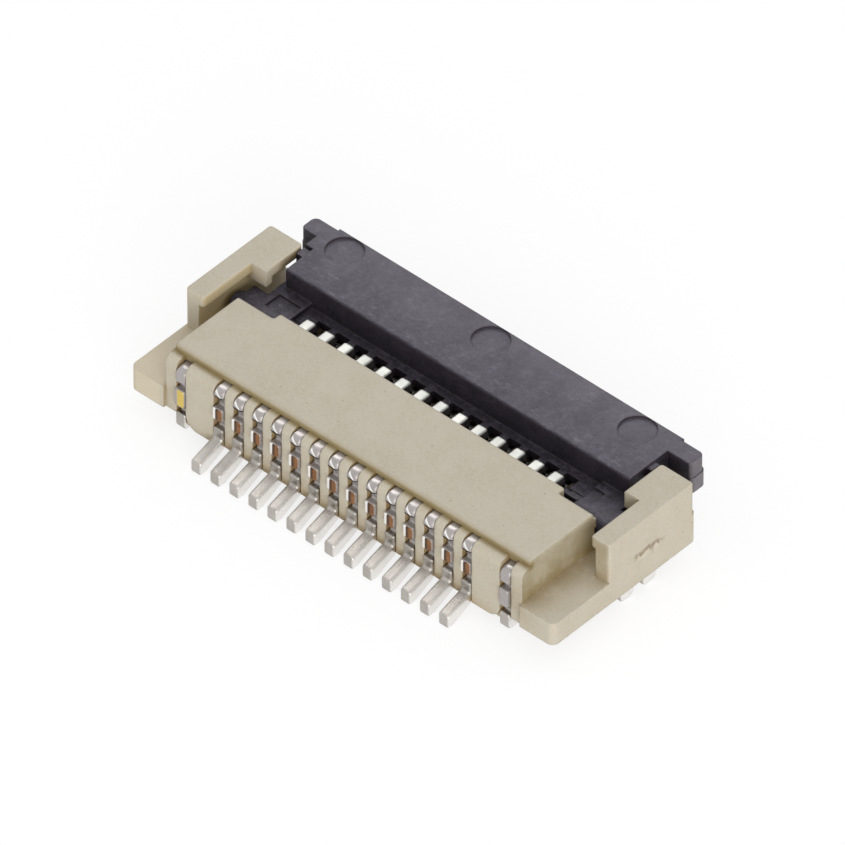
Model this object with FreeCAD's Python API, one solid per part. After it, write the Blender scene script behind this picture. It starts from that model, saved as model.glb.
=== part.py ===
import FreeCAD, Part

import math
import os

from FreeCAD import Vector

# Right-angle flip-lock connector for a flat flexible circuit, in millimetres.
# +X runs along the contact row, +Y towards the circuit entry and the lever's free edge, +Z up.
# The origin is on the board plane, under the middle of the whole part.

# Contact row
pitch = 0.5
contact_count = 14
blade_thickness = 0.25
blade_clearance = 0.01

# Flexible circuit and the slot that takes it
circuit_margin = 0.5
circuit_side_play = 0.05
circuit_floor_z = 0.72
circuit_gap = 0.43
circuit_stop_y = -1.5
entry_chamfer = 0.14

# Lever pivot
pivot_y = 0.42
pivot_z = 1.25
bar_radius = 0.17
trunnion_radius = 0.25
rib_head_radius = 0.27
rib_head_fullness = 0.95
pivot_clearance = 0.04

# Housing, central body, with X places counted from the last contact
base_bottom_z = 0.10
base_rear_y = -1.60
base_front_y = 1.98
channel_floor = 0.20
channel_front_wall = 0.26
rib_bottom_z = 0.30
rib_top_z = 1.78
rib_rear_y = -2.07
rib_round = 0.18
roof_top_z = 1.915
roof_rear_y = -1.81
roof_front_y = 0.22
roof_side = 1.42
roof_step_side = 0.48
roof_step = 0.19
roof_relief_depth = 0.14
roof_corner_round = 0.08
roof_edge_round = 0.05
roof_rim_round = 0.06

# Housing, comb end pieces and end slots
end_slot_steps = 2
end_piece_rear_y = -2.10
end_piece_bottom_z = 0.26
end_piece_round = 0.30

# Housing, side wings and arms, with X places counted inwards from the outer side face
side_margin = 2.30
wing_rear_y = -2.14
wing_bottom_z = 0.445
wing_top_z = 1.0
wing_round = 0.16
arm_wall = 0.35
arm_cap = 0.48
arm_rear_y = -0.53
arm_top_z = 1.98
arm_parting_step = 0.04
arm_parting_z = 1.2
arm_edge_round = 0.08
arm_foot_round = 0.12
lip_width = 0.37
lip_rear_y = 0.865
lip_thickness = 0.25
lip_post_length = 0.18
lip_post_drop = 0.17

# Signal contact
tail_tip_y = -2.78
tail_flat = 0.18
tail_thickness = 0.30
tail_root_z = 0.50
tail_heel_y = -2.06
tail_heel_z = 0.24
spine_rear_y = -1.98
spine_width = 0.32
nose_reach = 0.145
nose_height = 0.07
nose_z = 1.54
contact_top_z = 1.737
contact_top_round = 0.18
hook_front_y = 0.625
hook_tip_drop = 0.34
stub_reach = 0.18
stub_bottom_z = 0.97
stub_height = 0.31
shoulder_reach = 0.155
shoulder_z = 0.74
lower_beam_gap = 0.05
lower_beam_thickness = 0.20
contact_point_y = 1.0
contact_point_rise = 0.08
contact_tip_y = 1.45
crest_half = 0.10
crest_rise_length = 0.55
hook_front_round = 0.07
tail_tip_round = 0.06

# End contact
end_contact_top_z = 1.66
end_nose_z = 1.32
end_stub_bottom_z = 0.72
end_stub_height = 0.44
end_foot_bottom_z = 0.13
end_foot_top_z = 0.52
end_foot_length = 0.36
end_foot_round = 0.12
end_body_rise = 0.10
end_contact_front_y = -0.9

# Solder tab
tab_inset = 0.17
tab_rear_y = -0.2
tab_front_y = 1.25
tab_top_z = 0.85
tab_seat = 0.05
foot_places_y = (0.20, 0.85)
foot_width = 0.40
foot_round = 0.12

# Lever
lever_side_gap = 0.20
lever_play = 0.04
lever_rear_y = 1.18
lever_front_y = 2.78
lever_top_z = 1.97
lever_bottom_z = 1.20
lever_edge_round = 0.05
lever_grip_chamfer = 0.22
web_top_z = 1.38
web_reach = 0.575
web_overlap = 0.10
slot_clearance = 0.04
end_block_top_z = 1.50
end_block_front_y = 1.36
outer_block_front_y = 0.80
nub_rear_y = 1.70
nub_front_y = 1.93
nub_bottom_z = 1.60
end_clearance = 0.04
ear_reach = 0.06
ear_rear_y = 2.29
ear_set_back = 0.05
ear_round = 0.14
ear_rear_round = 0.10
ear_parting_z = 1.58
ear_parting_step = 0.02
plate_step_rear_y = 1.98
pocket_width = 0.42
pocket_x = (-4.21, 3.93)
pocket_opening = 0.17
pocket_rear_y = 0.53
pocket_depth = 0.06
ejector_x = (-3.97, -0.13, 3.71)
ejector_y = 2.35
ejector_radius = 0.40
ejector_depth = 0.05

# Derived sizes along the row
row_half = (contact_count - 1) * pitch / 2
blade_half = blade_thickness / 2
channel_half = blade_half + blade_clearance
entry_half = row_half + circuit_margin + circuit_side_play
roof_half = row_half + roof_side
roof_step_x = row_half + roof_step_side
end_piece_x = row_half + channel_half
end_slot_x = row_half + end_slot_steps * pitch
half_width = row_half + side_margin
wall_inner_x = half_width - arm_wall
arm_inner_x = half_width - arm_cap
lip_inner_x = arm_inner_x - lip_width
tab_outer_x = half_width - tab_inset
tab_inner_x = tab_outer_x - blade_thickness
lever_half = lip_inner_x - lever_side_gap
cheek_half = lip_inner_x - end_clearance - lever_play
outer_block_half = arm_inner_x - end_clearance - lever_play
trunnion_half = wall_inner_x - end_clearance - lever_play
ear_half = arm_inner_x + ear_reach
end_block_x = roof_step_x + end_clearance + lever_play

# Derived sizes across the row and upwards
circuit_ceiling_z = circuit_floor_z + circuit_gap
channel_floor_z = base_bottom_z + channel_floor
channel_top_z = contact_top_z + blade_clearance
channel_front_y = base_front_y - channel_front_wall
relief_y = roof_front_y - roof_relief_depth
relief_z = pivot_z + rib_head_radius + pivot_clearance
set_back_y = roof_front_y - roof_step
lip_bottom_z = arm_top_z - lip_thickness
hook_radius = bar_radius + pivot_clearance
side_block_z = pivot_z - hook_radius
hook_top_z = pivot_z + hook_radius
web_rear_y = pivot_y + web_reach
through = 0.5
tolerance = 0.001


def contact_positions():
    """Return the X of each signal contact."""
    return [index * pitch - row_half for index in range(contact_count)]


def rounded_edges(corners):
    """Turn (u, v, radius) corners of a closed outline into 2-D line and arc spans."""
    spans = []
    entry = []
    leave = []
    count = len(corners)
    for index, (u, v, radius) in enumerate(corners):
        here = Vector(u, v, 0)
        before = Vector(*corners[index - 1][:2], 0)
        after = Vector(*corners[(index + 1) % count][:2], 0)
        to_before = (before - here).normalize()
        to_after = (after - here).normalize()
        half_angle = to_before.getAngle(to_after) / 2
        reach = radius / math.tan(half_angle)
        entry.append(here + to_before * reach)
        leave.append(here + to_after * reach)
        if radius:
            middle = (to_before + to_after).normalize()
            centre = here + middle * (radius / math.sin(half_angle))
            spans.append(("arc", entry[index], centre - middle * radius, leave[index]))
    for index in range(count):
        following = (index + 1) % count
        if (entry[following] - leave[index]).Length > tolerance:
            spans.append(("line", leave[index], entry[following]))
    return spans


def prism(corners, plane, start, end):
    """Extrude a rounded outline, drawn in the XY, YZ or XZ plane, from start to end."""
    place = {
        "yz": lambda p: Vector(start, p.x, p.y),
        "xz": lambda p: Vector(p.x, start, p.y),
        "xy": lambda p: Vector(p.x, p.y, start),
    }[plane]
    travel = {"yz": Vector(1, 0, 0), "xz": Vector(0, 1, 0), "xy": Vector(0, 0, 1)}[plane]
    edges = []
    for span in rounded_edges(corners):
        points = [place(point) for point in span[1:]]
        if span[0] == "arc":
            edges.append(Part.Arc(*points).toShape())
        else:
            edges.append(Part.LineSegment(*points).toShape())
    wire = Part.Wire(Part.__sortEdges__(edges))
    return Part.Face(wire).extrude(travel * (end - start))


def block(x_span, y_span, z_span):
    """Return a plain block between the given spans."""
    size = [high - low for low, high in (x_span, y_span, z_span)]
    return Part.makeBox(*size, Vector(x_span[0], y_span[0], z_span[0]))


def cylinder_x(radius, x_span, y=pivot_y, z=pivot_z):
    """Return a cylinder that lies along X."""
    return Part.makeCylinder(radius, x_span[1] - x_span[0], Vector(x_span[0], y, z), Vector(1, 0, 0))


def mirrored(shape):
    """Return the copy on the other side of the middle plane."""
    return shape.mirror(Vector(0, 0, 0), Vector(1, 0, 0))


def both_sides(shape):
    """Return a shape and its mirror copy."""
    return [shape, mirrored(shape)]


def joined(shapes):
    """Fuse shapes into one solid with clean faces."""
    return shapes[0].multiFuse(shapes[1:]).removeSplitter()


def save(name, shape):
    """Write one sub-part."""
    assert shape.isValid(), name
    shape.exportStep("parts/" + name + ".step")


def housing_middle():
    """Base, circuit slot and ceiling under the roof, with the comb's rear form."""
    corners = [
        (rib_rear_y, rib_bottom_z, 0.0),
        (rib_rear_y, rib_top_z, rib_round),
        (relief_y, rib_top_z, 0.0),
        (relief_y, circuit_ceiling_z, 0.0),
        (circuit_stop_y, circuit_ceiling_z, 0.0),
        (circuit_stop_y, circuit_floor_z, 0.0),
        (base_front_y - entry_chamfer, circuit_floor_z, 0.0),
        (base_front_y, circuit_floor_z - entry_chamfer, 0.0),
        (base_front_y, base_bottom_z, 0.0),
        (base_rear_y, base_bottom_z, 0.0),
        (base_rear_y, rib_bottom_z, 0.0),
    ]
    body = prism(corners, "yz", -roof_half, roof_half)
    corner = block((end_slot_x, roof_half + through), (rib_rear_y - through, base_rear_y),
                   (base_bottom_z, wing_bottom_z))
    return body.cut(Part.makeCompound(both_sides(corner)))


def housing_roof():
    """Roof slab with rounded rear corners, set back over the lever's end blocks."""
    slab = prism([
        (-roof_half, roof_rear_y, roof_corner_round),
        (roof_half, roof_rear_y, roof_corner_round),
        (roof_half, set_back_y, roof_edge_round),
        (roof_step_x, set_back_y, roof_edge_round),
        (roof_step_x, roof_front_y, roof_edge_round),
        (-roof_step_x, roof_front_y, roof_edge_round),
        (-roof_step_x, set_back_y, roof_edge_round),
        (-roof_half, set_back_y, roof_edge_round),
    ], "xy", relief_z, roof_top_z)
    rim = [edge for edge in slab.Edges if edge.BoundBox.ZMin > roof_top_z - tolerance]
    return slab.makeFillet(roof_rim_round, rim)


def housing_side():
    """One side block, from the circuit slot out to the arm, closed under the roof's end."""
    under_roof = block((entry_half, roof_half), (base_rear_y, set_back_y), (base_bottom_z, relief_z))
    guide = block((entry_half, roof_half), (base_rear_y, base_front_y), (base_bottom_z, side_block_z))
    keel = block((entry_half, wall_inner_x), (base_rear_y, base_front_y), (base_bottom_z, wing_top_z))
    shelf_z = (wing_bottom_z, side_block_z)
    shelf = block((roof_half, wall_inner_x), (set_back_y, base_front_y), shelf_z)
    return [under_roof, guide, keel, shelf]


def housing_wing():
    """Low ledge beside the comb, with rounded corners, that runs on under the arm."""
    plan = prism([
        (roof_half, wing_rear_y, 0.0),
        (half_width, wing_rear_y, wing_round),
        (half_width, base_front_y, arm_edge_round),
        (roof_half, base_front_y, 0.0),
    ], "xy", wing_bottom_z, wing_top_z)
    profile = prism([
        (wing_rear_y, wing_bottom_z, 0.0),
        (wing_rear_y, wing_top_z, 0.0),
        (base_front_y, wing_top_z, 0.0),
        (base_front_y, wing_bottom_z, arm_foot_round),
    ], "yz", roof_half, half_width)
    return plan.common(profile)


def arm_wall_part(front_y, bottom_z, top_z):
    """One storey of the upright arm's outer wall, out to the given front."""
    return prism([
        (wall_inner_x, arm_rear_y, 0.0),
        (half_width, arm_rear_y, arm_edge_round),
        (half_width, front_y, arm_edge_round),
        (wall_inner_x, front_y, 0.0),
    ], "xy", bottom_z, top_z)


def housing_arm():
    """Upright arm, set back a little at its front above the parting, with a cap that widens to a lip."""
    front_y = base_front_y - arm_parting_step
    lower = arm_wall_part(base_front_y, wing_top_z, arm_parting_z)
    upper = arm_wall_part(front_y, arm_parting_z, lip_bottom_z)
    cap = prism([
        (arm_inner_x, arm_rear_y, arm_edge_round),
        (half_width, arm_rear_y, arm_edge_round),
        (half_width, front_y, arm_edge_round),
        (lip_inner_x, front_y, arm_edge_round),
        (lip_inner_x, lip_rear_y, 0.0),
        (arm_inner_x, lip_rear_y, 0.0),
    ], "xy", lip_bottom_z, arm_top_z)
    rim = [edge for edge in cap.Edges if edge.BoundBox.ZMin > arm_top_z - tolerance
           and edge.BoundBox.XMax > half_width - arm_edge_round + tolerance]
    cap = cap.makeFillet(arm_edge_round / 2, rim)
    post = block((lip_inner_x, wall_inner_x), (lip_rear_y, lip_rear_y + lip_post_length),
                 (lip_bottom_z - lip_post_drop, lip_bottom_z))
    return [lower, upper, cap, post]


def housing_end_piece():
    """Wide block between the last contact slot and the end contact's slot, with a rounded top."""
    outer_x = end_slot_x - channel_half
    front = prism([
        (end_piece_x, end_piece_bottom_z, 0.0),
        (outer_x, end_piece_bottom_z, end_piece_round),
        (outer_x, rib_top_z, 0.0),
        (end_piece_x, rib_top_z, 0.0),
    ], "xz", end_piece_rear_y, roof_rear_y)
    profile = prism([
        (end_piece_rear_y, end_piece_bottom_z, 0.0),
        (end_piece_rear_y, rib_top_z, rib_round),
        (roof_rear_y, rib_top_z, 0.0),
        (roof_rear_y, end_piece_bottom_z, 0.0),
    ], "yz", end_piece_x, outer_x)
    return front.common(profile)


def slot_mouth(centre_x):
    """Opens the top of one slot behind the roof's rear edge."""
    return block((centre_x - channel_half, centre_x + channel_half),
                 (rib_rear_y - through, roof_rear_y), (contact_top_z - through, rib_top_z + through))


def channel_cut(x):
    """Slot that takes one forked contact, open at the rear, above its bend and towards the circuit."""
    corners = [
        (rib_rear_y - through, base_bottom_z - through, 0.0),
        (rib_rear_y - through, channel_top_z, 0.0),
        (roof_front_y + through, channel_top_z, 0.0),
        (roof_front_y + through, circuit_ceiling_z, 0.0),
        (channel_front_y, circuit_ceiling_z, 0.0),
        (channel_front_y, channel_floor_z, 0.0),
        (base_rear_y, channel_floor_z, 0.0),
        (base_rear_y, base_bottom_z - through, 0.0),
    ]
    return prism(corners, "yz", x - channel_half, x + channel_half).fuse(slot_mouth(x))


def end_slot_cut():
    """Blind slot for one end contact, open above its bend."""
    slot = block((end_slot_x - channel_half, end_slot_x + channel_half),
                 (end_piece_rear_y - through, end_contact_front_y + blade_clearance),
                 (base_bottom_z - through, end_contact_top_z + blade_clearance))
    return slot.fuse(slot_mouth(end_slot_x))


def tab_slot_cut():
    """Slot under the arm that takes one solder tab from below."""
    return block((tab_inner_x - blade_clearance, tab_outer_x + blade_clearance),
                 (tab_rear_y - blade_clearance, tab_front_y + blade_clearance),
                 (base_bottom_z - through, tab_top_z + blade_clearance))


def set_back_cut():
    """Clears the body under the roof's set-back end down to the side block."""
    return block((roof_step_x, arm_inner_x), (set_back_y, roof_front_y + through), (side_block_z, relief_z))


def make_housing():
    """Pale moulded housing with its comb, roof, circuit slot, wings and arms."""
    solids = [housing_middle(), housing_roof()]
    for shape in housing_side() + [housing_wing(), housing_end_piece()] + housing_arm():
        solids += both_sides(shape)
    cradle = cylinder_x(trunnion_radius + pivot_clearance, (roof_step_x, wall_inner_x))
    cuts = [channel_cut(x) for x in contact_positions()]
    for shape in (end_slot_cut(), tab_slot_cut(), set_back_cut(), cradle):
        cuts += both_sides(shape)
    return joined(solids).cut(Part.makeCompound(cuts)).removeSplitter()


def spine_rear(top_z, nose_bottom_z, stub_z):
    """Rear edge of a contact, from the top bend down over the nose to the sheared stub."""
    nose_y = spine_rear_y - nose_reach
    stub_y = spine_rear_y - stub_reach
    return [
        (nose_y, top_z, contact_top_round),
        (nose_y, nose_bottom_z, 0.0),
        (spine_rear_y, nose_bottom_z - nose_height, 0.0),
        (spine_rear_y, stub_z[1], 0.0),
        (stub_y, stub_z[1], 0.0),
        (stub_y, stub_z[0], 0.0),
        (spine_rear_y, stub_z[0], 0.0),
    ]


def make_contact(x):
    """Forked signal contact, stamped flat: board tail, spine, hooked upper beam, sprung lower beam."""
    hook_tip_z = contact_top_z - hook_tip_drop
    hook_inner_y = pivot_y + math.sqrt(hook_radius ** 2 - (hook_tip_z - pivot_z) ** 2)
    spine_front_y = spine_rear_y + spine_width
    shoulder_y = spine_rear_y - shoulder_reach
    beam_rear_y = base_rear_y - blade_half
    beam_bottom_z = channel_floor_z + lower_beam_gap
    beam_top_z = beam_bottom_z + lower_beam_thickness
    crest_z = circuit_floor_z + contact_point_rise
    corners = [
        (tail_tip_y, 0.0, tail_tip_round),
        (tail_tip_y + tail_flat, 0.0, 0.0),
        (tail_heel_y, tail_heel_z, 0.0),
        (beam_rear_y, beam_bottom_z, 0.0),
        (contact_tip_y, beam_bottom_z, 0.0),
        (contact_tip_y, beam_top_z, 0.0),
        (contact_point_y + crest_half, crest_z, 0.0),
        (contact_point_y - crest_half, crest_z, 0.0),
        (contact_point_y - crest_rise_length, beam_top_z, 0.0),
        (spine_front_y, beam_top_z, 0.0),
        (spine_front_y, hook_top_z, 0.0),
        (hook_inner_y, hook_top_z, 0.0),
        (hook_inner_y, hook_tip_z, 0.0),
        (hook_front_y, hook_tip_z, 0.0),
        (hook_front_y, contact_top_z, hook_front_round),
    ]
    corners += spine_rear(contact_top_z, nose_z, (stub_bottom_z, stub_bottom_z + stub_height))
    corners += [
        (spine_rear_y, shoulder_z, 0.0),
        (shoulder_y, shoulder_z, 0.0),
        (shoulder_y, tail_root_z, 0.0),
        (tail_tip_y, tail_thickness, tail_tip_round),
    ]
    blade = prism(corners, "yz", x - blade_half, x + blade_half)
    hook_bow = cylinder_x(hook_radius, (x - blade_thickness, x + blade_thickness))
    return blade.cut(hook_bow).removeSplitter()


def make_end_contact():
    """Short hold-down blade that fills the outermost slot and ends in a rounded foot."""
    foot_rear_y = spine_rear_y - nose_reach
    body_bottom_z = rib_bottom_z + end_body_rise
    corners = [
        (foot_rear_y, end_foot_bottom_z, end_foot_round),
        (foot_rear_y + end_foot_length, end_foot_bottom_z, end_foot_round),
        (foot_rear_y + end_foot_length, body_bottom_z, 0.0),
        (end_contact_front_y, body_bottom_z, 0.0),
        (end_contact_front_y, end_contact_top_z, 0.0),
    ]
    stub_z = (end_stub_bottom_z, end_stub_bottom_z + end_stub_height)
    corners += spine_rear(end_contact_top_z, end_nose_z, stub_z)
    corners += [
        (spine_rear_y, end_foot_top_z, 0.0),
        (foot_rear_y, end_foot_top_z, 0.0),
    ]
    return prism(corners, "yz", end_slot_x - blade_half, end_slot_x + blade_half)


def make_solder_tab():
    """Flat blade held in the slot under one arm, with two rounded feet."""
    seat_z = wing_bottom_z - tab_seat
    pieces = [block((tab_inner_x, tab_outer_x), (tab_rear_y, tab_front_y), (seat_z, tab_top_z))]
    for centre in foot_places_y:
        pieces.append(prism([
            (centre - foot_width / 2, 0.0, foot_round),
            (centre + foot_width / 2, 0.0, foot_round),
            (centre + foot_width / 2, tab_top_z, 0.0),
            (centre - foot_width / 2, tab_top_z, 0.0),
        ], "yz", tab_inner_x, tab_outer_x))
    return joined(pieces)


def lever_plate():
    """Flat plate of the lever with its grip chamfer underneath the front edge."""
    return prism([
        (web_rear_y, lever_bottom_z, 0.0),
        (web_rear_y, web_top_z, 0.0),
        (lever_rear_y, web_top_z, 0.0),
        (lever_rear_y, lever_top_z, lever_edge_round),
        (lever_front_y, lever_top_z, lever_edge_round),
        (lever_front_y, lever_bottom_z + lever_grip_chamfer, 0.0),
        (lever_front_y - lever_grip_chamfer, lever_bottom_z, 0.0),
    ], "yz", -lever_half, lever_half)


def ear_storey(inset, bottom_z, top_z):
    """One storey of an ear, set in from the ear's full reach."""
    root_x = lever_half - lever_side_gap
    outer_x = ear_half - inset
    front_y = lever_front_y - ear_set_back - inset
    return prism([
        (root_x, ear_rear_y, 0.0),
        (outer_x, ear_rear_y, ear_rear_round),
        (outer_x, front_y, ear_round),
        (root_x, front_y, 0.0),
    ], "xy", bottom_z, top_z)


def lever_ear():
    """Ear at one end of the plate's front edge, with a small step at mid-height and a rounded top."""
    upper = ear_storey(ear_parting_step, ear_parting_z, lever_top_z)
    lower = ear_storey(0.0, lever_bottom_z, ear_parting_z)
    top = [edge for edge in upper.Edges
           if edge.BoundBox.ZMin > lever_top_z - tolerance and edge.BoundBox.XMax > lever_half]
    return [upper.makeFillet(lever_edge_round / 2, top), lower]


def lever_left_step():
    """Wider stretch of the plate behind the left ear, and a nub, both just clear of the arm's lip."""
    side_x = lip_inner_x - end_clearance + lever_play
    root_x = lever_half - lever_side_gap
    step = block((-side_x, -root_x), (plate_step_rear_y, ear_rear_y + ear_rear_round),
                 (lever_bottom_z, lever_top_z))
    nub = block((-side_x, -root_x), (nub_rear_y, nub_front_y),
                (nub_bottom_z, lever_top_z - lever_edge_round))
    return [step, nub]


def lever_rib(x_span):
    """Rounded pivot rib between two contact slots, with its web to the plate."""
    web_join_y = web_rear_y + web_overlap
    head_front_y = pivot_y + rib_head_radius
    return prism([
        (pivot_y, pivot_z - bar_radius, 0.0),
        (pivot_y, pivot_z + rib_head_radius, 0.0),
        (head_front_y, pivot_z + rib_head_radius, rib_head_radius * rib_head_fullness),
        (head_front_y, web_top_z, 0.0),
        (web_join_y, web_top_z, 0.0),
        (web_join_y, lever_bottom_z, 0.0),
        (head_front_y, pivot_z - bar_radius, 0.0),
    ], "yz", x_span[0], x_span[1])


def lever_end():
    """Raised end block, wide shaft block, locking cheek, side nub and trunnion at one end."""
    reach = lever_half - lever_side_gap
    raised_front_y = lever_rear_y + 2 * lever_edge_round
    cheek_rear_y = outer_block_front_y - end_clearance
    block_z = (lever_bottom_z, end_block_top_z)
    trunnion = cylinder_x(trunnion_radius, (end_block_x, trunnion_half))
    raised = block((end_block_x, lever_half), (pivot_y, raised_front_y), block_z)
    outer = block((reach, outer_block_half), (pivot_y, outer_block_front_y), block_z)
    cheek = prism([
        (reach, cheek_rear_y, 0.0),
        (cheek_half, cheek_rear_y, 0.0),
        (cheek_half, end_block_front_y, cheek_half - lever_half),
        (reach, end_block_front_y, 0.0),
    ], "xy", lever_bottom_z, end_block_top_z)
    nub_z = (nub_bottom_z, lever_top_z - lever_edge_round)
    nub = block((reach, cheek_half), (nub_rear_y, nub_front_y), nub_z)
    return [trunnion, raised, outer, cheek, nub]


def pocket_cut(centre_x):
    """Shallow square pocket in the top of one end block, open towards the contacts."""
    side = 1 if centre_x > 0 else -1
    far_x = centre_x + side * pocket_width / 2
    near_x = far_x - side * (pocket_width + pocket_opening)
    return block((min(far_x, near_x), max(far_x, near_x)), (pocket_rear_y, pocket_rear_y + pocket_width),
                 (end_block_top_z - pocket_depth, end_block_top_z + through))


def make_lever():
    """Dark locking lever: plate, ears, end blocks, trunnions, pivot ribs and the bars in the slots."""
    slot_half = blade_half + slot_clearance
    outer_x = end_block_x + lever_play
    slot_sides = [x + side * slot_half for x in contact_positions() for side in (-1, 1)]
    rib_sides = [-outer_x] + slot_sides + [outer_x]
    plate = [lever_plate(), cylinder_x(bar_radius, (-outer_x, outer_x))]
    for shape in lever_ear() + lever_end():
        plate += both_sides(shape)
    plate += lever_left_step()
    for shape in plate:
        shape.translate(Vector(lever_play, 0, 0))
    body = joined(plate + [lever_rib(span) for span in zip(rib_sides[0::2], rib_sides[1::2])])
    cuts = [pocket_cut(x) for x in pocket_x]
    for x in ejector_x:
        start = Vector(x, ejector_y, lever_top_z - ejector_depth)
        cuts.append(Part.makeCylinder(ejector_radius, through, start))
    return body.cut(Part.makeCompound(cuts)).removeSplitter()


def main():
    """Build every sub-part and write it."""
    os.makedirs("parts", exist_ok=True)
    save("housing", make_housing())
    save("actuator", make_lever())
    for number, x in enumerate(contact_positions(), 1):
        save("contact_%02d" % number, make_contact(x))
    for name, shape in (("end_contact", make_end_contact()), ("solder_tab", make_solder_tab())):
        save(name + "_right", shape)
        save(name + "_left", mirrored(shape))


main()
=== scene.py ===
import math

import bpy
from mathutils import Matrix, Vector


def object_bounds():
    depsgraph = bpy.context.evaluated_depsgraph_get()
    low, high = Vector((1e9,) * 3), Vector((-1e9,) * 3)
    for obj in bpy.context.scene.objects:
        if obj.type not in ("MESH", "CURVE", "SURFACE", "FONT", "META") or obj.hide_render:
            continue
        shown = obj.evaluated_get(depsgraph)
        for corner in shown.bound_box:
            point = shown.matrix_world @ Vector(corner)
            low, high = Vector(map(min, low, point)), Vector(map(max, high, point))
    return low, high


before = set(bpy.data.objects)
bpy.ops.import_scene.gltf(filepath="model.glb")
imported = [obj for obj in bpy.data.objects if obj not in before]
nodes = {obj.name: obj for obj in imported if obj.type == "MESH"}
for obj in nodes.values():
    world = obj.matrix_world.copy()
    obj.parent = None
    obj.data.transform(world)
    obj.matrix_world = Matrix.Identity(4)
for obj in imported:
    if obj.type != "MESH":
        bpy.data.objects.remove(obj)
cad_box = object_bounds()

# Places on the part, in millimetres in the shared frame: x along the contact row, y towards
# the circuit's side, z up from the board. A pair is a low and a high end.
MM = 0.001
PITCH = 0.5
WALL_X = 4.67  # outer faces of the housing's middle part, at both ends
WALL_REACH = 0.1  # as near to them counts as on them
# Where the left end starts, and where the painted corner shade thins out towards it.
LEFT_END_X, LEFT_THIN_SHADE_X = (-WALL_X - 0.15, -WALL_X), (-WALL_X - 0.1, -WALL_X)
WING_Z, OVER_WING_Z = 1.0, (1.0, 1.15)  # top of the side wings, and where the painted light on the left wing ends
ARM_REAR_Y = 0.43  # just in front of the arms' rear faces
LIP_Y, LIP_Z = -1.81, 1.80  # the crease under the roof's rear lip
GATE_X = 5.4  # the arms' outer faces lie beyond it
GATE_Y, GATE_Z = 0.64, 1.13
GATE_HALF_Y, GATE_HALF_Z = 0.48, 0.14
EAR_X = (4.95, 5.25)  # where the painted light on the lever's right ear starts
PLATE_Y, PLATE_Z = (1.2, 2.7), 1.85  # the lever's plate, and just under its top
HOOK_Y, HOOK_Z = -1.0, 1.70  # the hooks lie in front of and above these
TAIL_Z = (0.25, 0.70)  # the metal turns from tail to spine between these heights
NOSE_Z = (0.70, 0.80)  # and from bright to matt between these
STUB_Y = -2.14  # the sheared faces lie behind it
STUB_Z, END_STUB_Z = (0.96, 1.29), (0.71, 1.17)
LEFT_CUT_X, LEFT_CUT_RIM = (-4.31, -4.27), (0.03, 0.07)
GLINT_Z, GLINT_SLOPE, GLINT_HALF = 1.625, 0.33, (0.014, 0.036)  # a slanted line on the noses

# The cuts' upright bands and their slanted line, in shares of the pitch from a contact's middle.
CUT_LEFT, CUT_RIM_X, CUT_COPPER_X = -0.25, (-0.09, -0.05), (0.00, 0.12)
GLINT_ENDS = (0.14, 0.20)

# Ends of a ramp, and axes by number.
RISING, FALLING = (0.0, 1.0), (1.0, 0.0)
X, Y, Z = 0, 1, 2

# Widths and depths of the materials' finest forms, in millimetres.
HOUSING_EDGE, LEVER_EDGE, METAL_EDGE = 0.045, 0.04, 0.05
HOUSING_RELIEF, LEVER_RELIEF, METAL_RELIEF = 0.006, 0.009, 0.004
HOUSING_SHADE, METAL_SHADE = 0.55, 0.4
SUBSURFACE_DEPTH = 0.12
EDGE_TURN = (0.80, 0.985)  # cosines of a rounded normal's turn, on an edge and on a flat
FINE_SAMPLES = 4

# The metal's rounds: width and weld distance in millimetres, angles in degrees.
ROUND_WIDTH, ROUND_STEPS, ROUND_ANGLE = 0.045, 3, 50.0
WELD_DISTANCE, FLAT_ANGLE = 0.0005, 1.0

# Noises by name: features in a millimetre, detail, roughness and, if drawn out, the stretch.
HOUSING_NOISE = {
    "cloud": (1.1, 4.0, 0.62),
    "grain": (17.0, 3.0, 0.7),
    "flow": (0.8, 3.0, 0.55, (5.0, 1.0, 1.0)),
    "wear": (6.0, 3.0, 0.7),
    "speckle": (30.0, 2.0, 0.6),
    # The next noise only makes the painted shade patchy.
    "patchy": (2.4, 3.0, 0.6),
    "ragged": (5.0, 3.0, 0.6),
    "pits": (8.0, 3.0, 0.6),
}
LEVER_NOISE = {
    "cloud": (1.6, 5.0, 0.66),
    "grain": (16.0, 4.0, 0.8),
    "swirl": (1.6, 6.0, 0.68, (1.0, 2.0, 1.0)),
    "mottle": (5.5, 5.0, 0.75),
    "scratch": (5.0, 4.0, 0.7, (1.6, 0.5, 1.0)),
    "speckle": (26.0, 2.0, 0.6),
}
METAL_NOISE = {
    "cloud": (2.6, 3.0, 0.6),
    "streak": (7.0, 2.0, 0.5, (0.35, 3.0, 3.0)),
}
CUT_BLOTCH = (9.0, 3.0, 0.6)

# How high each noise stands in the relief, in shares of its depth.
HOUSING_HEIGHTS = {"grain": 1.0, "cloud": 0.8}
LEVER_HEIGHTS = {"grain": 1.5, "swirl": 2.4, "mottle": 2.5}
METAL_HEIGHTS = {"streak": 1.0, "cloud": 0.6}
GATE_HEIGHT = 2.0

# What the metal's parts add to its roughness, and what the matt ones take from its metallic share.
HOOK_ROUGHER, CUT_ROUGHER, MATT_LOSS = 0.15, 0.2, 0.5

# Flecks: cells in a millimetre, and the ends of their soft rim.
HOUSING_FLECKS, LEVER_FLECKS = (3.0, (0.03, 0.09)), (3.5, (0.03, 0.09))

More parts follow.
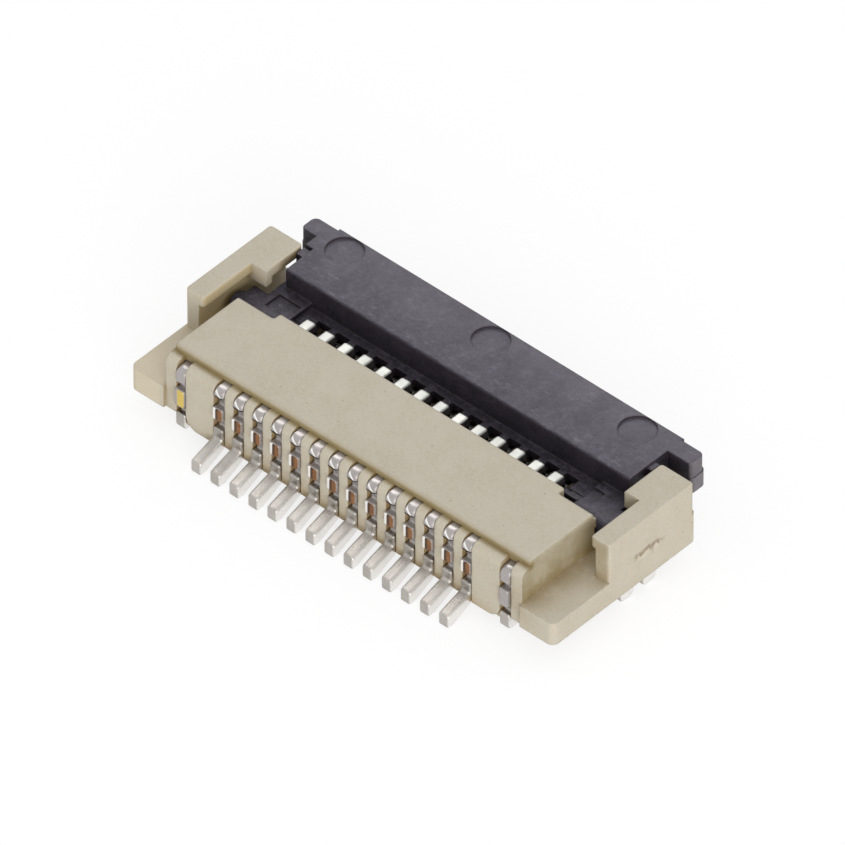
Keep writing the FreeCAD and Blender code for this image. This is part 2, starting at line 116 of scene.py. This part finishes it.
# Display colours by name, 0 to 255.
HOUSING_TONES = {
    "dark": (202, 192, 171),
    "light": (209, 200, 181),
    "streak": (190, 179, 155),
    "grain": (213, 206, 190),
    "speck": (181, 169, 142),
    "fleck": (160, 142, 106),
    # Rubbed edges, partly a painted highlight.
    "rubbed_and_highlight": (240, 236, 226),
    # From here to end_face: painted warm shade in corners, creases and on the right end's walls, and
    # painted light on the left end.
    "corner_shade": (150, 122, 62),
    "deep": (134, 102, 48),
    "left_wing": (230, 217, 190),
    "left_arm": (196, 170, 104),
    "under_lip": (138, 118, 64),
    "by_wall": (136, 110, 44),
    "wall": (128, 110, 58),
    "end_face": (138, 116, 58),
    "gate_light": (218, 209, 190),
    "gate_dark": (134, 114, 88),
}
LEVER_TONES = {
    "dark": (34, 30, 36),
    "light": (46, 41, 49),
    "mottle": (88, 82, 94),
    "hollow": (18, 15, 21),
    "grain": (76, 70, 84),
    "scratch": (120, 114, 124),
    "fleck": (140, 132, 136),
    "speck": (104, 98, 106),
    # The last three tones: worn edges with a painted highlight, scuffs with a painted sheen, and painted
    # light on the right ear.
    "edge": (108, 97, 95),
    "rubbed_and_highlight": (92, 88, 97),
    "ear_light": (142, 136, 140),
}
METAL_TONES = {
    "dark": (154, 149, 141),
    "light": (180, 175, 168),
    "streak": (150, 145, 138),
    # The next five tones: a painted highlight on worn edges, painted shade in hollows, painted light on
    # the tails and their sides, and painted shade on the hook tops.
    "edge": (226, 223, 219),
    "painted_shade": (112, 98, 76),
    "tail": (208, 203, 198),
    "tail_side": (238, 235, 231),
    "hook": (148, 148, 144),
    "matt": (178, 172, 173),
    "cut_brown": (78, 54, 36),
    "cut_copper": (146, 100, 62),
    "cut_blotch": (92, 66, 42),
    "cut_rim": (250, 247, 242),
    "glint": (250, 248, 244),
    "cut_yellow": (222, 195, 104),
}

# Camera and light, in metres and watts.
CAMERA_PLACE = (0.334324, -0.369225, 0.460443)
CAMERA_LOOK = (-0.493436, 0.545279, -0.677637)
CAMERA_LENS, CAMERA_SENSOR = 1484.5, 36.0
CAMERA_CLIP = (0.01, 4.0)
WORLD_STRENGTH = 0.60
LIGHT_DISTANCE = 0.5
LIGHTS = (
    # name, direction from the part, size, power, lights matt surfaces too
    ("side_light", (1.0, -0.8, 0.3), 0.35, 1.5, True),
    ("top_light", (0.1, 0.5, 1.0), 0.45, 0.20, True),
    ("sheen_light", (-0.493, 0.545, 0.678), 0.40, 1.6, False),
)
FLOOR_HALF, FLOOR_DROP = 3.0, 0.00001
FLOOR_PAPER, FLOOR_SHOWN, FLOOR_GLOW = 0.8, 0.26, 0.80
UP = Vector((0, 0, 1))


def colour(red, green, blue):
    """A display colour, 0 to 255, as the linear colour that shaders take."""
    linear = []
    for value in (red, green, blue):
        value /= 255.0
        linear.append(value / 12.92 if value <= 0.04045 else ((value + 0.055) / 1.055) ** 2.4)
    return (*linear, 1.0)


def grey(level):
    """A linear grey."""
    return (level, level, level, 1.0)


class Graph:
    """A new material and short ways to add and join its nodes."""

    def __init__(self, name):
        self.material = bpy.data.materials.new(name)
        self.material.use_nodes = True
        self.tree = self.material.node_tree
        self.tree.nodes.clear()
        self.output = self.tree.nodes.new("ShaderNodeOutputMaterial")

    def add(self, kind, **settings):
        """Adds a node with those settings."""
        node = self.tree.nodes.new(kind)
        for key, value in settings.items():
            setattr(node, key, value)
        return node

    def feed(self, socket, value):
        """Joins a value's socket to an input, or writes a plain number or colour there."""
        if isinstance(value, bpy.types.NodeSocket):
            self.tree.links.new(value, socket)
        else:
            socket.default_value = value

    def math(self, operation, first, second=0.0):
        node = self.add("ShaderNodeMath", operation=operation)
        self.feed(node.inputs[0], first)
        self.feed(node.inputs[1], second)
        return node.outputs[0]

    def product(self, first, *others):
        for other in others:
            first = self.math("MULTIPLY", first, other)
        return first

    def above(self, value, limit):
        return self.math("GREATER_THAN", value, limit)

    def below(self, value, limit):
        return self.math("LESS_THAN", value, limit)

    def swing(self, noise, size):
        """A noise as a swing round 0, of that size from end to end."""
        return self.math("MULTIPLY", self.math("SUBTRACT", noise, 0.5), size)

    def ramp(self, value, turn, share=RISING):
        """Maps the ends of turn to the ends of share, smoothly."""
        node = self.add("ShaderNodeMapRange", interpolation_type="SMOOTHSTEP")
        self.feed(node.inputs["Value"], value)
        node.inputs["From Min"].default_value, node.inputs["From Max"].default_value = turn
        node.inputs["To Min"].default_value, node.inputs["To Max"].default_value = share
        return node.outputs["Result"]

    def mix(self, factor, first, second):
        """The first colour at 0, the second at 1."""
        node = self.add("ShaderNodeMix", data_type="RGBA", blend_type="MIX")
        self.feed(node.inputs["Factor"], factor)
        colours = [socket for socket in node.inputs if socket.type == "RGBA"]
        self.feed(colours[0], first)
        self.feed(colours[1], second)
        return [socket for socket in node.outputs if socket.type == "RGBA"][0]

    def place(self, size=(1.0, 1.0, 1.0)):
        """The object's own coordinates in millimetres, stretched by size."""
        where = self.add("ShaderNodeTexCoord")
        scaled = self.add("ShaderNodeVectorMath", operation="MULTIPLY")
        self.tree.links.new(where.outputs["Object"], scaled.inputs[0])
        scaled.inputs[1].default_value = tuple(1.0 / (MM * s) for s in size)
        return scaled.outputs[0]

    def axes(self):
        """X, Y and Z of the object's own coordinates in millimetres."""
        split = self.add("ShaderNodeSeparateXYZ")
        self.tree.links.new(self.place(), split.inputs[0])
        return split.outputs

    def facing(self, axis, turn=(0.5, 0.9)):
        """1 on faces that look along one axis, either way, in the object's own frame."""
        where = self.add("ShaderNodeTexCoord")
        split = self.add("ShaderNodeSeparateXYZ")
        self.tree.links.new(where.outputs["Normal"], split.inputs[0])
        return self.ramp(self.math("ABSOLUTE", split.outputs[axis]), turn)

    def noise(self, scale, detail, roughness, size=(1.0, 1.0, 1.0)):
        """Cloudy noise with about that many features in a millimetre."""
        node = self.add("ShaderNodeTexNoise")
        self.tree.links.new(self.place(size), node.inputs["Vector"])
        node.inputs["Scale"].default_value = scale
        node.inputs["Detail"].default_value = detail
        node.inputs["Roughness"].default_value = roughness
        return node.outputs["Fac"]

    def noises(self, table):
        """All noises of a table, by name."""
        return {name: self.noise(*values) for name, values in table.items()}

    def heights(self, noise, shares):
        """The sum of a table's noises, each by its share."""
        total = 0.0
        for name, share in shares.items():
            total = self.math("ADD", total, self.product(noise[name], share))
        return total

    def flecks(self, scale, rim):
        """Sparse round flecks, one where a cell's centre is near."""
        node = self.add("ShaderNodeTexVoronoi", feature="F1")
        self.tree.links.new(self.place(), node.inputs["Vector"])
        node.inputs["Scale"].default_value = scale
        return self.ramp(node.outputs["Distance"], rim, FALLING)

    def edge(self, radius):
        """1 along the edges of the piece, 0 on its flats, and the rounded normal."""
        rounded = self.add("ShaderNodeBevel", samples=FINE_SAMPLES)
        rounded.inputs["Radius"].default_value = radius * MM
        flat = self.add("ShaderNodeNewGeometry")
        dot = self.add("ShaderNodeVectorMath", operation="DOT_PRODUCT")
        self.tree.links.new(rounded.outputs["Normal"], dot.inputs[0])
        self.tree.links.new(flat.outputs["Normal"], dot.inputs[1])
        return self.ramp(dot.outputs["Value"], EDGE_TURN, FALLING), rounded.outputs["Normal"]

    def crease(self, first, second, reach):
        """1 on a straight crease, given by two distances from it, falling to 0 within reach."""
        squares = self.math("ADD", self.product(first, first), self.product(second, second))
        return self.ramp(self.math("SQRT", squares), reach, FALLING)

    def shade(self, distance):
        """1 in the open, falling to 0 deep between walls."""
        node = self.add("ShaderNodeAmbientOcclusion", samples=FINE_SAMPLES)
        node.inputs["Distance"].default_value = distance * MM
        return node.outputs["AO"]

    def bump(self, height, depth, normal):
        """The normal, tilted by a relief of that depth in millimetres."""
        node = self.add("ShaderNodeBump")
        self.feed(node.inputs["Height"], height)
        node.inputs["Strength"].default_value = 1.0
        node.inputs["Distance"].default_value = depth * MM
        self.feed(node.inputs["Normal"], normal)
        return node.outputs["Normal"]

    def shader(self, **sockets):
        """Ends the material with one Principled shader."""
        node = self.add("ShaderNodeBsdfPrincipled")
        for key, value in sockets.items():
            self.feed(node.inputs[key.replace("_", " ")], value)
        self.tree.links.new(node.outputs[0], self.output.inputs["Surface"])
        return self.material


class Coat:
    """The colour of a surface as layers of a palette's tones, one over the other."""

    def __init__(self, graph, palette, low, high, factor):
        """Starts as a mix of two of the palette's tones."""
        self.graph = graph
        self.palette = palette
        self.tone = graph.mix(factor, colour(*palette[low]), colour(*palette[high]))

    def lay(self, tone, factor, share=None):
        """Lays a tone over the coat, by factor and by an even share of it."""
        if share is not None:
            factor = self.graph.product(factor, share)
        self.tone = self.graph.mix(factor, self.tone, tone)

    def add(self, name, factor, share=None):
        """Lays one of the palette's tones over the coat."""
        self.lay(colour(*self.palette[name]), factor, share)


def paint_housing_light_and_shade(g, coat, noise, x, y, z):
    """Warm painted shade in the housing's corners, creases and on its walls, and painted light on its left
    end.
    """
    # Painted warm shade where the surface is hemmed in by other surfaces, patchy and thinner towards the
    # left end.
    open_air = g.shade(HOUSING_SHADE)
    fewer_left = g.ramp(x, LEFT_THIN_SHADE_X, share=(0.35, 1.0))
    corner_shade = g.product(g.ramp(open_air, (0.35, 0.95), share=(0.68, 0.0)), fewer_left)
    coat.add("corner_shade", g.product(corner_shade, g.ramp(noise["patchy"], (0.3, 0.6), share=(0.7, 1.0))))
    # Painted deeper brown shade in the narrowest hollows.
    coat.add("deep", g.ramp(open_air, (0.08, 0.50), share=(0.75, 0.0)))

    # Painted light: the left end lighter up to just above its wing's top, as if lit more from the left.
    left_end = g.ramp(x, LEFT_END_X, FALLING)
    coat.add("left_wing", g.product(left_end, g.ramp(z, OVER_WING_Z, share=(0.55, 0.0))))
    # Painted warm shade on the left end's inner side faces, in the crease between arm and roof.
    left_inner = g.product(left_end, g.facing(X), g.above(x, -GATE_X))
    coat.add("left_arm", left_inner, share=0.45)

    # Painted shade along the crease under the roof's rear lip.
    under_lip = g.crease(g.math("SUBTRACT", y, LIP_Y), g.math("SUBTRACT", z, LIP_Z), reach=(0.03, 0.16))
    coat.add("under_lip", under_lip, share=0.70)

    # Painted warm shade in the corner between the right end's wall and its wing, behind the arm, patchy.
    beyond_wall = g.math("SUBTRACT", g.math("ABSOLUTE", x), WALL_X)
    over_wing = g.math("SUBTRACT", z, WING_Z)
    right_rear = g.product(g.above(x, 0.0), g.below(y, ARM_REAR_Y))
    by_wall = g.product(g.crease(beyond_wall, over_wing, reach=(0.03, 0.75)), right_rear)
    coat.add("by_wall", g.product(by_wall, g.ramp(noise["patchy"], (0.3, 0.65), share=(0.06, 0.26))))

    # Painted shade on the right end's wall, patchy.
    wall = g.below(g.math("ABSOLUTE", beyond_wall), WALL_REACH)
    wall = g.product(wall, right_rear, g.above(z, WING_Z), g.facing(X, turn=(0.3, 0.8)))
    coat.add("wall", g.product(wall, g.ramp(noise["patchy"], (0.3, 0.65), share=(0.34, 0.52))))

    # Painted shade on the rear-facing faces beyond the right wall, above the wing, patchy.
    end_face = g.product(g.above(beyond_wall, WALL_REACH), g.above(z, WING_Z), right_rear)
    end_face = g.product(end_face, g.ramp(noise["patchy"], (0.3, 0.65), share=(0.25, 0.50)))
    coat.add("end_face", g.product(end_face, g.facing(Y, turn=(0.6, 0.9))))


def mark_gate(g, coat, noise, x, y, z):
    """The rough trace of the moulding gate on the right arm, darker along its upper edge."""
    y_share = g.math("DIVIDE", g.math("SUBTRACT", y, GATE_Y), GATE_HALF_Y)
    z_share = g.math("DIVIDE", g.math("SUBTRACT", z, GATE_Z), GATE_HALF_Z)
    spread = g.math("ADD", g.product(y_share, y_share), g.product(z_share, z_share))
    spread = g.math("ADD", spread, g.swing(noise["ragged"], size=2.6))
    gate = g.product(g.ramp(spread, (0.30, 1.30), FALLING), g.above(x, GATE_X))
    upper = g.ramp(g.math("ADD", z_share, g.swing(noise["pits"], size=4.0)), (-0.5, 0.5))
    mark = Coat(g, HOUSING_TONES, "gate_light", "gate_dark", upper)
    coat.lay(mark.tone, gate, share=0.70)
    return gate


def housing_material():
    """Pale beige moulded plastic with a cloudy grain, specks, rubbed edges with a painted highlight,
    painted warm shade in its corners and creases, painted light on its left end and a gate mark.
    """
    g = Graph("housing_plastic")
    noise = g.noises(HOUSING_NOISE)
    edge, rounded = g.edge(HOUSING_EDGE)
    x, y, z = g.axes()
    coat = Coat(g, HOUSING_TONES, "dark", "light", g.ramp(noise["cloud"], (0.3, 0.7)))
    coat.add("streak", g.ramp(noise["flow"], (0.35, 0.75), share=(0.0, 0.18)))
    coat.add("grain", g.ramp(noise["grain"], (0.34, 0.68), share=(0.0, 0.60)))
    coat.add("speck", g.ramp(noise["speckle"], (0.58, 0.72), share=(0.0, 0.50)))
    coat.add("fleck", g.flecks(*HOUSING_FLECKS), share=0.55)
    # Rubbed edges, lighter in patches, partly a painted highlight where edges would catch the light.
    coat.add("rubbed_and_highlight", g.product(edge, g.ramp(noise["wear"], (0.46, 0.60), share=(0.12, 1.0))), share=0.75)
    paint_housing_light_and_shade(g, coat, noise, x, y, z)
    gate = mark_gate(g, coat, noise, x, y, z)
    height = g.heights(noise, HOUSING_HEIGHTS)
    height = g.math("ADD", height, g.product(gate, noise["pits"], GATE_HEIGHT))
    return g.shader(
        Base_Color=coat.tone,
        Roughness=g.ramp(noise["grain"], (0.3, 0.7), share=(0.50, 0.62)),
        Normal=g.bump(height, HOUSING_RELIEF, rounded),
        Specular_IOR_Level=0.15,
        Subsurface_Weight=0.10,
        Subsurface_Radius=(1.0, 0.75, 0.5),
        Subsurface_Scale=SUBSURFACE_DEPTH * MM,
    )


def lever_material():
    """Black moulded plastic whose flats catch a grey, mottled sheen, with scuffs, worn edges with a
    painted highlight, a painted sheen towards the plate's edge on the circuit's side and painted light on
    the right ear.
    """
    g = Graph("lever_plastic")
    noise = g.noises(LEVER_NOISE)
    edge, rounded = g.edge(LEVER_EDGE)
    x, y, z = g.axes()
    level = g.facing(Z)
    coat = Coat(g, LEVER_TONES, "dark", "light", g.ramp(noise["cloud"], (0.32, 0.68)))
    coat.add("mottle", g.product(g.ramp(noise["mottle"], (0.48, 0.66), share=(0.0, 0.60)), level))
    coat.add("hollow", g.ramp(noise["mottle"], (0.34, 0.47), share=(0.80, 0.0)))
    coat.add("grain", g.ramp(noise["grain"], (0.48, 0.74), share=(0.0, 0.45)))
    coat.add("scratch", g.product(g.ramp(noise["scratch"], (0.58, 0.70), share=(0.0, 0.42)), level))
    coat.add("fleck", g.flecks(*LEVER_FLECKS), share=0.15)
    coat.add("speck", g.ramp(noise["speckle"], (0.58, 0.74), share=(0.0, 0.35)))
    # Worn edges, lighter, partly a painted highlight.
    coat.add("edge", edge, share=0.35)
    # Lighter towards the plate's edge on the circuit's side: scuffs and a painted sheen.
    coat.add("rubbed_and_highlight", g.product(g.ramp(y, PLATE_Y, share=(0.0, 0.45)), g.above(z, PLATE_Z), level))
    # Painted light on the right ear's side faces, patchy.
    ear_lit = g.product(g.ramp(x, EAR_X), g.facing(X, turn=(0.2, 0.7)))
    coat.add("ear_light", g.product(ear_lit, g.ramp(noise["cloud"], (0.3, 0.6), share=(0.6, 0.9))))
    return g.shader(
        Base_Color=coat.tone,
        Roughness=g.ramp(noise["swirl"], (0.35, 0.68), share=(0.55, 0.40)),
        Normal=g.bump(g.heights(noise, LEVER_HEIGHTS), LEVER_RELIEF, rounded),
        Specular_IOR_Level=0.46,
        Specular_Tint=(0.90, 0.85, 1.0, 1.0),
    )


def metal_material(name, cut=None):
    """Plated strip metal; cut(graph, x, y, z) may give a factor and a tone to the sheared faces."""
    g = Graph(name)
    noise = g.noises(METAL_NOISE)
    edge, rounded = g.edge(METAL_EDGE)
    x, y, z = g.axes()
    coat = Coat(g, METAL_TONES, "dark", "light", g.ramp(noise["cloud"], (0.3, 0.7)))
    coat.add("streak", g.ramp(noise["streak"], (0.45, 0.75), share=(0.0, 0.5)))
    # Edges lighter: burnished, partly a painted highlight.
    coat.add("edge", edge, share=0.5)
    tail = g.ramp(z, TAIL_Z, FALLING)
    # Painted shade in hollows and between parts, kept off the tails and the rear cut faces.
    painted_shade = g.ramp(g.shade(METAL_SHADE), (0.10, 0.70), share=(0.55, 0.0))
    painted_shade = g.product(painted_shade, g.math("SUBTRACT", 1.0, tail))
    coat.add("painted_shade", g.product(painted_shade, g.ramp(y, (STUB_Y, LIP_Y))))
    # Painted light: the tails lighter, and their sides lighter still, as if lit more out in the open.
    coat.add("tail", tail, share=0.30)
    coat.add("tail_side", g.product(tail, g.facing(X)))
    # Painted shade: the hook tops darker, holding down the lamp's reflection on them.
    hook = g.product(g.above(y, HOOK_Y), g.above(z, HOOK_Z))
    coat.add("hook", hook)
    matt = g.product(g.below(y, LIP_Y), g.ramp(z, NOSE_Z))
    coat.add("matt", matt, share=0.6)
    rough = g.ramp(noise["cloud"], (0.3, 0.7), share=(0.24, 0.36))
    rough = g.math("ADD", rough, g.product(hook, HOOK_ROUGHER))
    if cut:
        share, cut_tone = cut(g, x, y, z)
        coat.lay(cut_tone, share)
        rough = g.math("ADD", rough, g.product(share, CUT_ROUGHER))
    return g.shader(
        Base_Color=coat.tone,
        Metallic=g.math("SUBTRACT", 1.0, g.product(matt, MATT_LOSS)),
        Roughness=rough,
        Normal=g.bump(g.heights(noise, METAL_HEIGHTS), METAL_RELIEF, rounded),
    )


def stub_share(g, y, z, span):
    """1 on the sheared face at the rear of a contact, between two heights."""
    return g.product(g.below(y, STUB_Y), g.above(z, span[0]), g.below(z, span[1]))


def signal_cut(g, x, y, z):
    """White, brown and copper bands on the cut, and a bright slanted line on the nose above it."""
    across = g.math("SUBTRACT", g.math("FRACT", g.math("DIVIDE", x, PITCH)), 0.5)
    cut = Coat(g, METAL_TONES, "cut_brown", "cut_copper", g.ramp(across, CUT_COPPER_X))
    cut.add("cut_blotch", g.ramp(g.noise(*CUT_BLOTCH), (0.45, 0.68), share=(0.0, 0.5)))
    cut.add("cut_rim", g.ramp(across, CUT_RIM_X, FALLING))
    share = g.product(stub_share(g, y, z, STUB_Z), g.above(across, CUT_LEFT))
    off_line = g.math("ADD", g.product(across, GLINT_SLOPE), g.math("SUBTRACT", z, GLINT_Z))
    glint = g.product(
        g.ramp(g.math("ABSOLUTE", off_line), GLINT_HALF, FALLING),
        g.ramp(g.math("ABSOLUTE", across), GLINT_ENDS, FALLING),
        g.below(y, LIP_Y),
    )
    cut.add("glint", glint)
    return g.math("MAXIMUM", share, glint), cut.tone


def left_cut(g, x, y, z):
    """Yellow metal on the left end contact's cut, inside a bright rim."""
    low, high = (END_STUB_Z[0] + rim for rim in LEFT_CUT_RIM)
    share = g.product(stub_share(g, y, z, END_STUB_Z), g.ramp(x, LEFT_CUT_X), g.ramp(z, (low, high)))
    return share, colour(*METAL_TONES["cut_yellow"])


def assign(node, material):
    """Gives one CAD node a single material."""
    mesh = nodes[node].data
    mesh.materials.clear()
    mesh.materials.append(material)


def soften(node):
    """Rounds the stamped edges of one metal piece, as its plating and tumbling do."""
    piece = nodes[node]
    weld = piece.modifiers.new("weld", "WELD")
    weld.merge_threshold = WELD_DISTANCE * MM
    flats = piece.modifiers.new("flats", "DECIMATE")
    flats.decimate_type = "DISSOLVE"
    flats.angle_limit = math.radians(FLAT_ANGLE)
    bevel = piece.modifiers.new("rounds", "BEVEL")
    bevel.width = ROUND_WIDTH * MM
    bevel.segments = ROUND_STEPS
    bevel.limit_method = "ANGLE"
    bevel.angle_limit = math.radians(ROUND_ANGLE)
    bevel.use_clamp_overlap = False


def dress():
    """Gives every node its material, and the metal ones their rounds."""
    plain_metal = metal_material("plated_metal")
    signal_metal = metal_material("plated_metal_signal", signal_cut)
    special = {
        "end_contact_left": metal_material("plated_metal_left", left_cut),
        "housing": housing_material(),
        "actuator": lever_material(),
    }
    for node in nodes:
        if "contact" in node or "tab" in node:
            soften(node)
        signal = node.startswith("contact_")
        assign(node, signal_metal if signal else special.get(node, plain_metal))


def seen(tree):
    """1 for the camera, for gloss and for glass, 0 for everything else."""
    path = tree.nodes.new("ShaderNodeLightPath")
    joined = path.outputs["Is Camera Ray"]
    for ray in ("Is Glossy Ray", "Is Transmission Ray"):
        most = tree.nodes.new("ShaderNodeMath")
        most.operation = "MAXIMUM"
        tree.links.new(joined, most.inputs[0])
        tree.links.new(path.outputs[ray], most.inputs[1])
        joined = most.outputs[0]
    return joined


def glowing(tree, kind, strength):
    """A white node of that kind, which shines with that strength."""
    node = tree.nodes.new(kind)
    node.inputs["Color"].default_value = grey(1.0)
    node.inputs["Strength"].default_value = strength
    return node


def show(tree, output, real, shown):
    """Puts out the shown shader where it is seen, and the real one for everything else."""
    mixer = tree.nodes.new("ShaderNodeMixShader")
    tree.links.new(seen(tree), mixer.inputs[0])
    tree.links.new(real.outputs[0], mixer.inputs[1])
    tree.links.new(shown.outputs[0], mixer.inputs[2])
    tree.links.new(mixer.outputs[0], tree.nodes.new(output).inputs["Surface"])


def make_world():
    """Even white surroundings, pure white where they are seen."""
    world = bpy.data.worlds.new("studio")
    bpy.context.scene.world = world
    world.use_nodes = True
    tree = world.node_tree
    tree.nodes.clear()
    lit = glowing(tree, "ShaderNodeBackground", WORLD_STRENGTH)
    white = glowing(tree, "ShaderNodeBackground", 1.0)
    show(tree, "ShaderNodeOutputWorld", lit, white)


def paper(tree, level):
    """A matt grey shader."""
    node = tree.nodes.new("ShaderNodeBsdfDiffuse")
    node.inputs["Color"].default_value = grey(level)
    return node


def make_floor():
    """Pale floor just under the tails, white where it is seen but for the object's faint shadow."""
    level = cad_box[0][2] - FLOOR_DROP
    mesh = bpy.data.meshes.new("floor")
    corners = [(x * FLOOR_HALF, y * FLOOR_HALF, level) for x, y in ((-1, -1), (1, -1), (1, 1), (-1, 1))]
    mesh.from_pydata(corners, [], [(0, 1, 2, 3)])
    floor = bpy.data.objects.new("floor", mesh)
    bpy.context.scene.collection.objects.link(floor)
    material = bpy.data.materials.new("floor_paper")
    material.use_nodes = True
    tree = material.node_tree
    tree.nodes.clear()
    shown = tree.nodes.new("ShaderNodeAddShader")
    tree.links.new(paper(tree, FLOOR_SHOWN).outputs[0], shown.inputs[0])
    tree.links.new(glowing(tree, "ShaderNodeEmission", FLOOR_GLOW).outputs[0], shown.inputs[1])
    show(tree, "ShaderNodeOutputMaterial", paper(tree, FLOOR_PAPER), shown)
    mesh.materials.append(material)


def aim(place, direction):
    """A matrix that stands at place and looks along direction, with up as near the top as it can be."""
    back = -direction.normalized()
    right = UP.cross(back).normalized()
    turn = Matrix((right, back.cross(right), back)).transposed()
    return Matrix.Translation(place) @ turn.to_4x4()


def make_light(name, towards, size, power, diffuse):
    """Square soft light in that direction from the part, aimed at it; it may show only as gloss."""
    data = bpy.data.lights.new(name, "AREA")
    data.shape = "SQUARE"
    data.size = size
    data.energy = power
    light = bpy.data.objects.new(name, data)
    light.visible_diffuse = diffuse
    bpy.context.scene.collection.objects.link(light)
    direction = Vector(towards).normalized()
    light.matrix_world = aim(direction * LIGHT_DISTANCE, -direction)


def make_camera():
    """Long lens from the rear right, at the photograph's angle."""
    data = bpy.data.cameras.new("camera")
    data.lens = CAMERA_LENS
    data.sensor_width = CAMERA_SENSOR
    data.clip_start, data.clip_end = CAMERA_CLIP
    camera = bpy.data.objects.new("camera", data)
    bpy.context.scene.collection.objects.link(camera)
    camera.matrix_world = aim(Vector(CAMERA_PLACE), Vector(CAMERA_LOOK))
    bpy.context.scene.camera = camera


dress()
make_camera()
make_world()
make_floor()
for light in LIGHTS:
    make_light(*light)
bpy.context.scene.view_settings.view_transform = "Standard"
